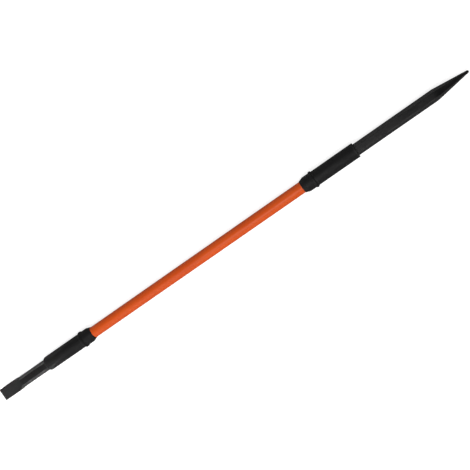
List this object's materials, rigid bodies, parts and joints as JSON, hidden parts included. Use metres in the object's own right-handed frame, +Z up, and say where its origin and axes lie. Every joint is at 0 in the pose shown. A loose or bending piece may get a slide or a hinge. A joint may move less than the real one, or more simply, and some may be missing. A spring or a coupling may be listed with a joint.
{
  "type": "digging bar",
  "caption": "Insulated digging bar with a forged steel chisel end and point end on an orange-sleeved fibreglass shaft; beaded black rubber guards cover the joints.",
  "frame": {"origin": "under mid-length, on the surface that the bar's two guard beads lie on; the bar's axis is 23.5 mm above it", "axes": "+X along the bar towards the point, +Z up, square to the chisel's wide face and to a pair of hexagon flats"},
  "size_m": [1.525, 0.047, 0.047],
  "materials": {
    "lacquered_steel": "satin",
    "bare_steel": "satin",
    "fibreglass": "satin",
    "orange_polypropylene": "satin",
    "black_rubber": "matte",
    "epoxy": "gloss",
    "seal_rubber": "satin"
  },
  "bodies": {
    "root": {"chisel_bond": "epoxy", "chisel_coupling": "bare_steel", "chisel_cross_pins": "bare_steel", "chisel_end": "lacquered_steel", "chisel_guard_collar": "black_rubber", "chisel_guard_sleeve": "black_rubber", "chisel_seal_ring": "seal_rubber", "chisel_weld": "bare_steel", "core_rod": "fibreglass", "point_bond": "epoxy", "point_coupling": "bare_steel", "point_cross_pins": "bare_steel", "point_end": "lacquered_steel", "point_guard_collar": "black_rubber", "point_guard_sleeve": "black_rubber", "point_seal_ring": "seal_rubber", "point_weld": "bare_steel", "shaft_sleeve": "orange_polypropylene"}
  },
  "joints": []
}
